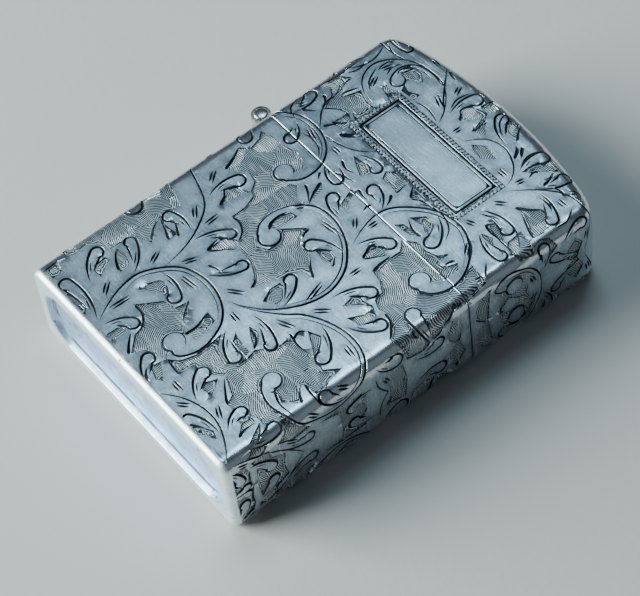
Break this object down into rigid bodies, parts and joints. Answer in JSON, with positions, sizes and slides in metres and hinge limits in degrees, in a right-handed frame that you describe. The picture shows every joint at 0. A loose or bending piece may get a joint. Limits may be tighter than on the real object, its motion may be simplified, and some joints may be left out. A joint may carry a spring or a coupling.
{
  "type": "pocket lighter",
  "caption": "Windproof pocket lighter: oblong case with scroll ornament, flip-up domed lid on a side hinge, lift-out wick unit with pierced chimney and flint wheel.",
  "frame": {"origin": "centre of the back face that the lighter lies on, midway between base and crown", "axes": "+X away from the hinge side, +Y along the length from the base towards the lid, +Z out of the front face"},
  "size_m": [0.0407, 0.0574, 0.0127],
  "materials": {
    "silver": "satin silver with blackened scroll engraving, polished at the edges",
    "hinge_metal": "satin, slightly yellow",
    "insert_steel": "fine brushed",
    "steel": "polished",
    "tool_steel": "dark, cut teeth",
    "brass": "turned",
    "flint": "matt grey pressed flint",
    "wick": "braided cotton, charred at the tip",
    "cotton": "loose cotton",
    "felt": "pressed felt"
  },
  "bodies": {
    "case": {"case_body": "silver", "case_hinge_plate": "hinge_metal", "hinge_pin": "steel", "insert_case": "insert_steel", "chimney": "insert_steel", "wick_grommet": "brass", "wheel_axle": "steel", "flint_tube": "brass", "flint": "flint", "spring_pusher": "brass", "flint_spring": "steel", "spring_screw": "brass", "cam_rivet": "steel", "cam_spring": "tool_steel", "cam_spring_rivet": "steel", "wick": "wick", "felt_pad": "felt", "packing_ball_1": "cotton", "packing_ball_2": "cotton", "packing_ball_3": "cotton", "packing_ball_4": "cotton", "packing_ball_5": "cotton"},
    "lid": {"lid": "silver", "lid_hinge_plate": "hinge_metal"},
    "cam": {"cam": "steel"},
    "striker": {"flint_wheel": "tool_steel"}
  },
  "joints": [
    {"name": "lid_hinge", "type": "hinge", "parent": "case", "child": "lid", "pos_m": [-0.02035, 0.0064, 0.00637], "axis": [0, 0, 1], "range_deg": [0, 130]},
    {"name": "cam_pivot", "type": "hinge", "parent": "case", "child": "cam", "pos_m": [-0.0124, 0.013, 0.00637], "axis": [0, 0, 1], "range_deg": [-5.5, 0]},
    {"name": "wheel_spin", "type": "hinge", "parent": "case", "child": "striker", "pos_m": [0.0093, 0.01905, 0.00637], "axis": [0, 0, 1], "continuous": true}
  ],
  "couplings": [
    {"joint": "cam_pivot", "follows": "lid_hinge", "ratio": -0.04}
  ]
}
